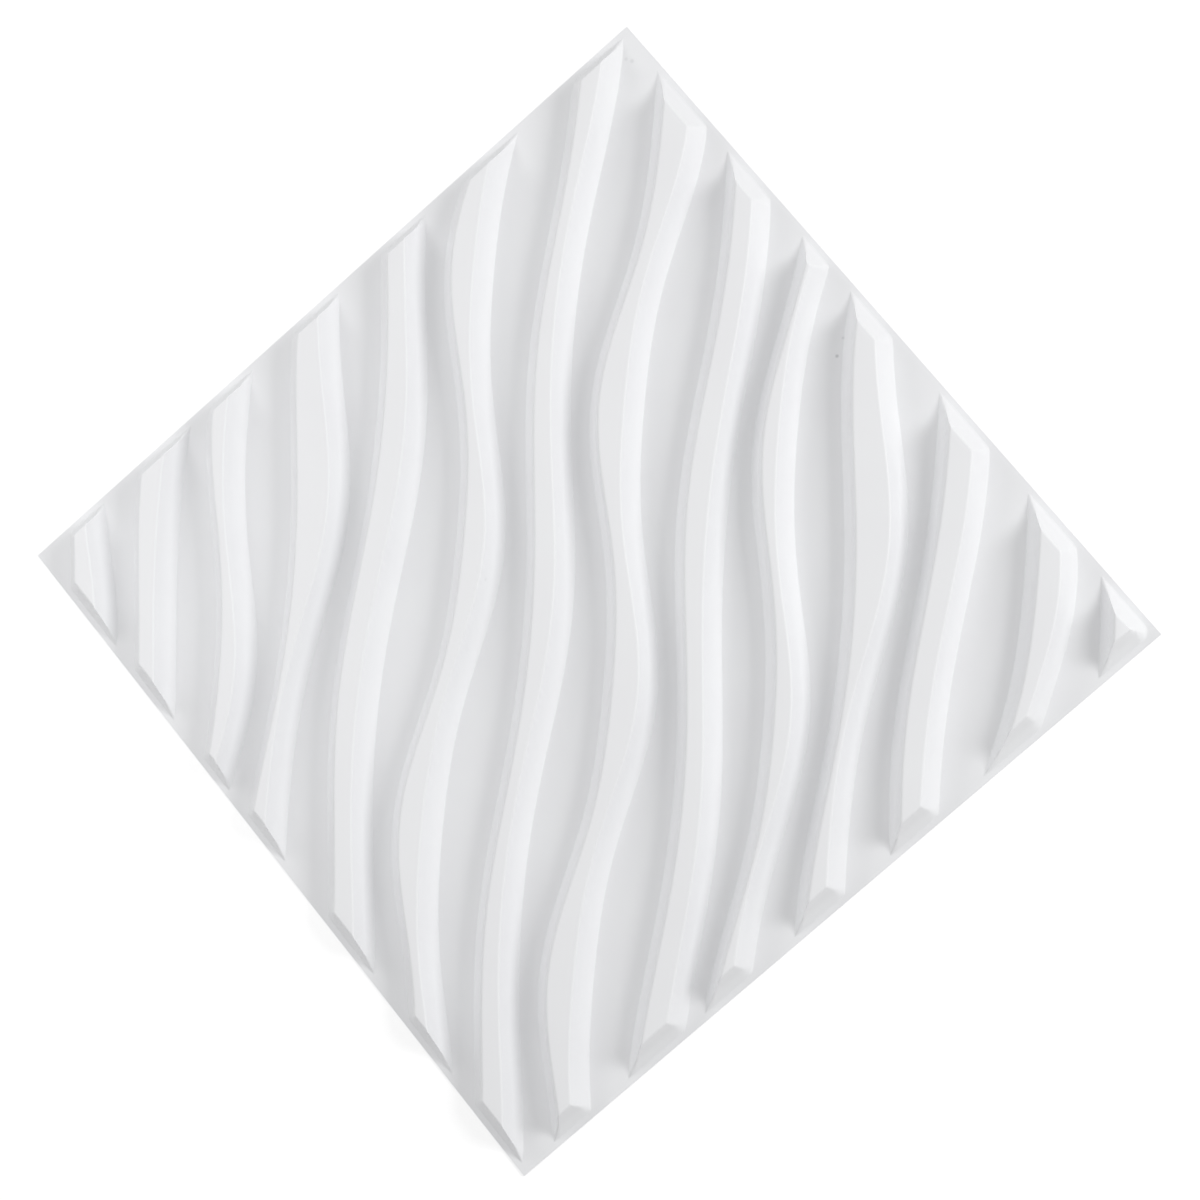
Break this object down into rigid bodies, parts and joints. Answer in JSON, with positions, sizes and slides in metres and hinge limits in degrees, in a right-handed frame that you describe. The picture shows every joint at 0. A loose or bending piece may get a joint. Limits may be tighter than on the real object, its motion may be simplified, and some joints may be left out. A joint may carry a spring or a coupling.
{
  "type": "3d wall panel tile",
  "caption": "Square formed sheet tile with wavy diagonal ribs and a flat rim, glued by its back to a wall or ceiling as a relief lining.",
  "frame": {"origin": "centre of the tile, on the flat back face that it lies on", "axes": "+Z out of the wall, from the back to the rib tops; X and Y along the tile's sides, with the ribs along the diagonal where X equals Y"},
  "size_m": [0.5, 0.5, 0.019],
  "materials": {
    "white_pvc": "matte"
  },
  "bodies": {
    "root": {"wall_panel": "white_pvc"}
  },
  "joints": []
}
